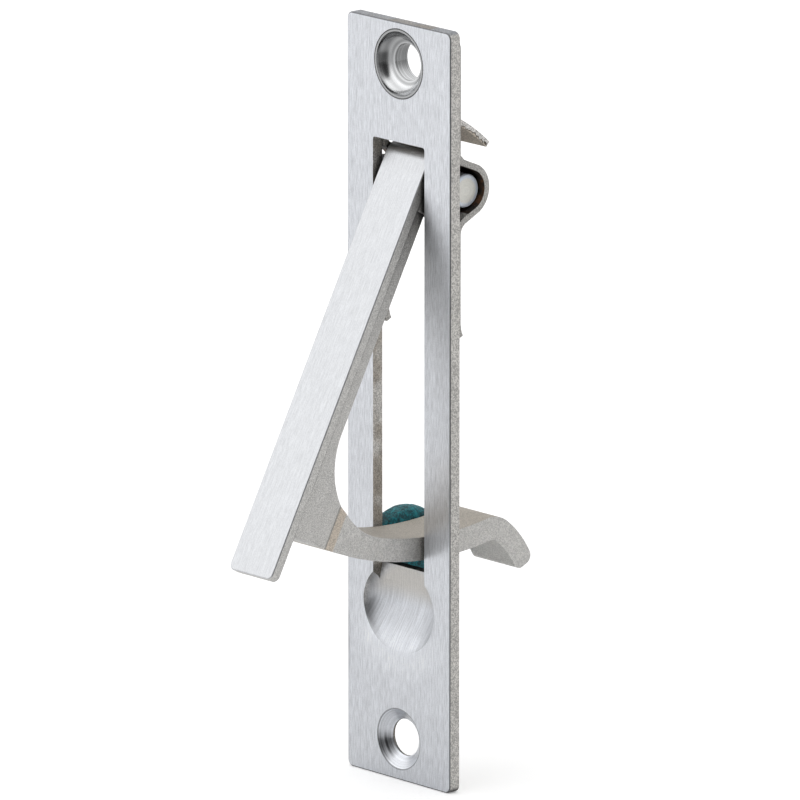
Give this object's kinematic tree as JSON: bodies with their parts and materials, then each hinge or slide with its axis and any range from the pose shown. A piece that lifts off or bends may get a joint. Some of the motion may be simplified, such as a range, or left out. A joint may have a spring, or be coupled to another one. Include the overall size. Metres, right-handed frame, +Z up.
{
  "type": "pocket door edge pull",
  "caption": "Flush edge pull for a sliding pocket door: a slotted faceplate with a hinged lever that swings out of the slot to be gripped.",
  "frame": {"origin": "on the faceplate's back face, midway between the two screw holes", "axes": "+X across the plate, +Y into the door from the plate's front, +Z up along the plate towards the pivot"},
  "size_m": [0.019, 0.0447, 0.0984],
  "materials": {
    "brushed_plate": "satin, brushed lengthwise",
    "polished_eyelet": "bright",
    "grey_strap": "matte, sheared edges",
    "grey_leaf": "matte, sheared edges",
    "pale_pin": "satin",
    "blasted_lever": "blasted, with a brushed gripping face",
    "teal_pad": "matte"
  },
  "bodies": {
    "plate": {"faceplate": "brushed_plate", "screw_eyelet": "polished_eyelet", "pin_strap": "grey_strap", "detent_leaf": "grey_leaf", "pivot_pin": "pale_pin", "friction_pad": "teal_pad"},
    "lever": {"pull_lever": "blasted_lever"}
  },
  "joints": [
    {"name": "lever_swing", "type": "hinge", "parent": "plate", "child": "lever", "pos_m": [0, 0.00265, 0.0282], "axis": [-1, 0, 0], "range_deg": [-28.5, 11]}
  ]
}
